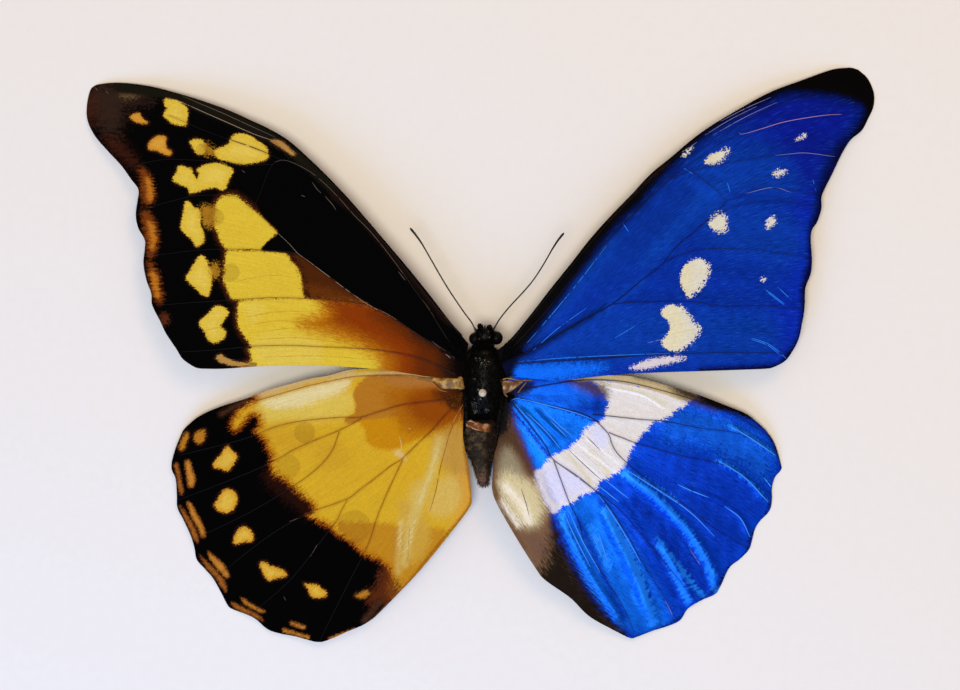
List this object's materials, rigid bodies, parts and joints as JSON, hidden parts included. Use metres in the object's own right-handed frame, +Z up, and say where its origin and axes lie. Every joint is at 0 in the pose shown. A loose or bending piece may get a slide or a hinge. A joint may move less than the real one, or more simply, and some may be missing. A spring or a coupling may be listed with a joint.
{
  "type": "pinned butterfly specimen",
  "caption": "Dried butterfly with spread wings on a short insect pin, half female and half male, resting on its wing tips and the pin's foot.",
  "frame": {"origin": "centre of the pin's cut foot, on the surface that the specimen rests on", "axes": "+X to the male (blue) wings, +Y to the head, +Z up, out of the insect's back"},
  "size_m": [0.1311, 0.0954, 0.016],
  "materials": {
    "female_wing": "matte",
    "male_wing": "satin",
    "body": "matte",
    "eye": "gloss",
    "antenna": "satin",
    "leg": "matte",
    "pin": "satin",
    "pin_head": "gloss"
  },
  "bodies": {
    "root": {"thorax": "body", "head": "body", "abdomen": "body", "eye_left": "eye", "eye_right": "eye", "antenna_left": "antenna", "antenna_right": "antenna", "palp_left": "body", "palp_right": "body", "proboscis": "leg", "forewing_left": "female_wing", "forewing_right": "male_wing", "hindwing_left": "female_wing", "hindwing_right": "male_wing", "leg_fore_left": "leg", "leg_fore_right": "leg", "leg_middle_left": "leg", "leg_middle_right": "leg", "leg_hind_left": "leg", "leg_hind_right": "leg", "pin_shank": "pin", "pin_head": "pin_head"}
  },
  "joints": []
}
